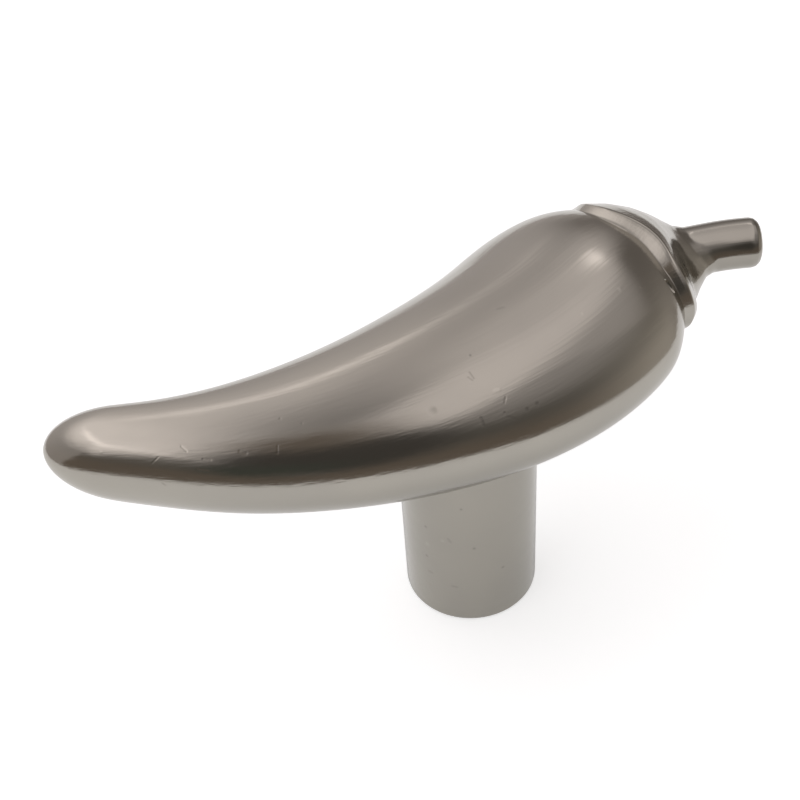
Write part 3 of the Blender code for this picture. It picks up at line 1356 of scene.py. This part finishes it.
@dataclass(frozen=True)
class StudioRoom:
    """The room round the knob: a broad soft light on the left, and darker towards the camera.

    Azimuth 0 is away from the camera, and 90 degrees is on its right. A rise is the height of a
    direction on the unit sphere, and each pair of rises is where one tone fades into the next.
    """

    low: float = 0.205
    middle: float = 0.147
    high: float = 0.463
    zenith: float = 0.12
    wall_rises: tuple[float, float] = (-0.1, 0.35)
    ceiling_rises: tuple[float, float] = (0.3, 0.8)
    zenith_rises: tuple[float, float] = (0.86, 1.0)
    behind: float = 9.0
    fields: tuple[SoftField, ...] = (
        SoftField("back wall", -28, 27.6, 85, 58, 0.71, 0.95),
        SoftField("right of the ceiling", 96, 71, 62, 12.4, 1.06, 0.40),
        SoftField("right corner", 45, 15, 42, 26, 0.10, 0.25, Tint.BROWN, 0.75),
        SoftField("left light", -85, 51, 43, 23.6, 1.38, 0.52),
        SoftField("end of the left light", -134, 36, 8, 15, 1.40, 0.78),
        SoftField("dark front", 179.5, 25.8, 23.3, 25.8, 0.086, 0.29, Tint.WARM),
        SoftField("low dark front", -168, 11, 15, 10, 0.092, 0.6, Tint.MOSSY),
        SoftField("gap on the right", 20, 52, 8, 27, 0.87, 0.94),
        SoftField("small lamp", 22.5, 42.5, 4.8, 2.6, 2.1, 0.5, roll_deg=-20),
        SoftField("edge of the left light", -110, 44, 29, 2.4, 2.2, 0.6, roll_deg=-12),
        SoftField("thin strip", -18, 45, 17, 1.9, 1.55, 0.6, roll_deg=52),
        SoftField("front of the ceiling", -174, 54, 11.5, 11, 0.20, 0.95, Tint.BROWN),
        SoftField("right wall", 84, -8, 27, 30, 0.55, 0.95, Tint.WARM),
    )

    def build(self) -> None:
        """Makes the world: this room for all light, and white where the camera sees past the floor."""
        world = bpy.data.worlds.new("studio_room")
        bpy.context.scene.world = world
        world.use_nodes = True
        sheet = NodeSheet(world.node_tree)
        background = world.node_tree.nodes["Background"]
        view = sheet.add("TexCoord").outputs["Generated"]
        turn = (0.0, 0.0, math.radians(STUDIO_YAW_DEG))
        room = sheet.add(
            "VectorRotate", {"Vector": view, "Rotation": turn}, rotation_type="EULER_XYZ"
        ).outputs[0]
        up = sheet.add("SeparateXYZ", {0: room}).outputs[2]
        light = Tint.BROWN.at(self.low)
        for rises, above in (
            (self.wall_rises, Tint.WARM.at(self.middle)),
            (self.ceiling_rises, Tint.ROSY.at(self.high)),
            (self.zenith_rises, Tint.ROSY.at(self.zenith)),
        ):
            light = self.blend(sheet, sheet.ramp(up, *rises, 0.0, 1.0), light, above)
        for patch in self.fields:
            inside = self.inside(sheet, room, patch)
            light = self.blend(sheet, inside, light, patch.tint.at(patch.radiance))
        rays = sheet.add("LightPath").outputs
        seen = sheet.sum("MAXIMUM", rays["Is Camera Ray"], rays["Is Transmission Ray"])
        sheet.link(self.blend(sheet, seen, light, Tint.WHITE.at(1.0)), background.inputs["Color"])

    def blend(self, sheet: NodeSheet, share: Any, below: Any, above: Any) -> bpy.types.NodeSocket:
        """Mixes two colours, each a socket or a colour, by the share of the one above."""
        return sheet.add("Mix", {0: share, 6: below, 7: above}, data_type="RGBA").outputs[2]

    def inside(
        self, sheet: NodeSheet, room: bpy.types.NodeSocket, patch: SoftField
    ) -> bpy.types.NodeSocket:
        """Gives how much of a soft patch lies in a direction.

        Args:
            sheet: where the nodes go.
            room: the direction in the studio's frame.
            patch: the patch.

        Returns:
            1 well inside it, and 0 outside.
        """
        facing = room
        aim = (math.radians(patch.elevation_deg), 0.0, -math.radians(patch.azimuth_deg))
        for turn in (aim, (0.0, math.radians(patch.roll_deg), 0.0)):
            settings = {"rotation_type": "EULER_XYZ", "invert": True}
            inputs = {"Vector": facing, "Rotation": turn}
            facing = sheet.add("VectorRotate", inputs, **settings).outputs[0]
        across, ahead, above = sheet.add("SeparateXYZ", {0: facing}).outputs
        across = sheet.sum("DIVIDE", across, math.sin(math.radians(patch.half_width_deg)))
        above = sheet.sum("DIVIDE", above, math.sin(math.radians(patch.half_height_deg)))
        away = sheet.sum("ADD", sheet.sum("POWER", across, 2.0), sheet.sum("POWER", above, 2.0))
        away = sheet.sum("SQRT", away)
        behind = sheet.sum("MULTIPLY", sheet.sum("LESS_THAN", ahead, 0.0), self.behind)
        away = sheet.sum("ADD", away, behind)
        return sheet.ramp(away, 1 - patch.softness, 1 + patch.softness, patch.cover, 0.0)


@dataclass(frozen=True)
class SoftLamp:
    """One large soft lamp, high on the left."""

    azimuth_deg: float = -84.0
    elevation_deg: float = 46.0
    distance: float = 0.42
    size: float = 0.24
    watts: float = 0.045

    def build(self) -> bpy.types.Object:
        """Hangs the lamp, facing the knob.

        Returns:
            The lamp.
        """
        azimuth = math.radians(self.azimuth_deg + STUDIO_YAW_DEG)
        elevation = math.radians(self.elevation_deg)
        direction = Vector((math.sin(azimuth), math.cos(azimuth), 0)) * math.cos(elevation)
        direction.z = math.sin(elevation)
        bpy.ops.object.light_add(type="AREA", location=direction * self.distance)
        lamp = bpy.context.object
        lamp.name = "soft_lamp"
        lamp.rotation_euler = direction.to_track_quat("Z", "Y").to_euler()
        lamp.data.size = self.size
        lamp.data.energy = self.watts
        lamp.visible_glossy = False
        return lamp


@dataclass(frozen=True)
class Floor:
    """The pale table, whose front edge is near the knob."""

    front: float = 0.090
    back: float = 0.300
    left: float = 0.089
    right: float = 0.086
    corner: float = 0.066
    corner_steps: int = 12
    drop: float = 0.00002
    finish: PaleFloor = field(default_factory=PaleFloor)

    def build(self) -> bpy.types.Object:
        """Models the table's top.

        Returns:
            The floor.
        """
        deselect_all()
        bpy.ops.mesh.primitive_plane_add(size=1.0)
        floor = bpy.context.object
        floor.name = floor.data.name = "floor"
        floor.scale = (self.left + self.right, self.front + self.back, 1.0)
        place_in_mesh(floor)
        middle = Vector(((self.right - self.left) / 2, (self.back - self.front) / 2, -self.drop))
        floor.rotation_euler.z = -math.radians(STUDIO_YAW_DEG)
        bpy.context.view_layer.update()
        floor.location = floor.rotation_euler.to_matrix() @ middle
        place_in_mesh(floor)
        bpy.ops.object.mode_set(mode="EDIT")
        bpy.ops.mesh.select_all(action="SELECT")
        bpy.ops.mesh.bevel(offset=self.corner, segments=self.corner_steps, affect="VERTICES")
        bpy.ops.object.mode_set(mode="OBJECT")
        floor.data.materials.append(self.finish.build())
        return floor


def main() -> None:
    """Builds the knob and its studio."""
    knob = Knob().build()
    LOG.info("knob: %d faces", len(knob.data.polygons))
    for part in (Floor(), SoftLamp(), ProductCamera()):
        LOG.info("%s is in place", part.build().name)
    StudioRoom().build()
    bpy.context.scene.view_settings.view_transform = "Standard"


if __name__ == "__main__":
    main()
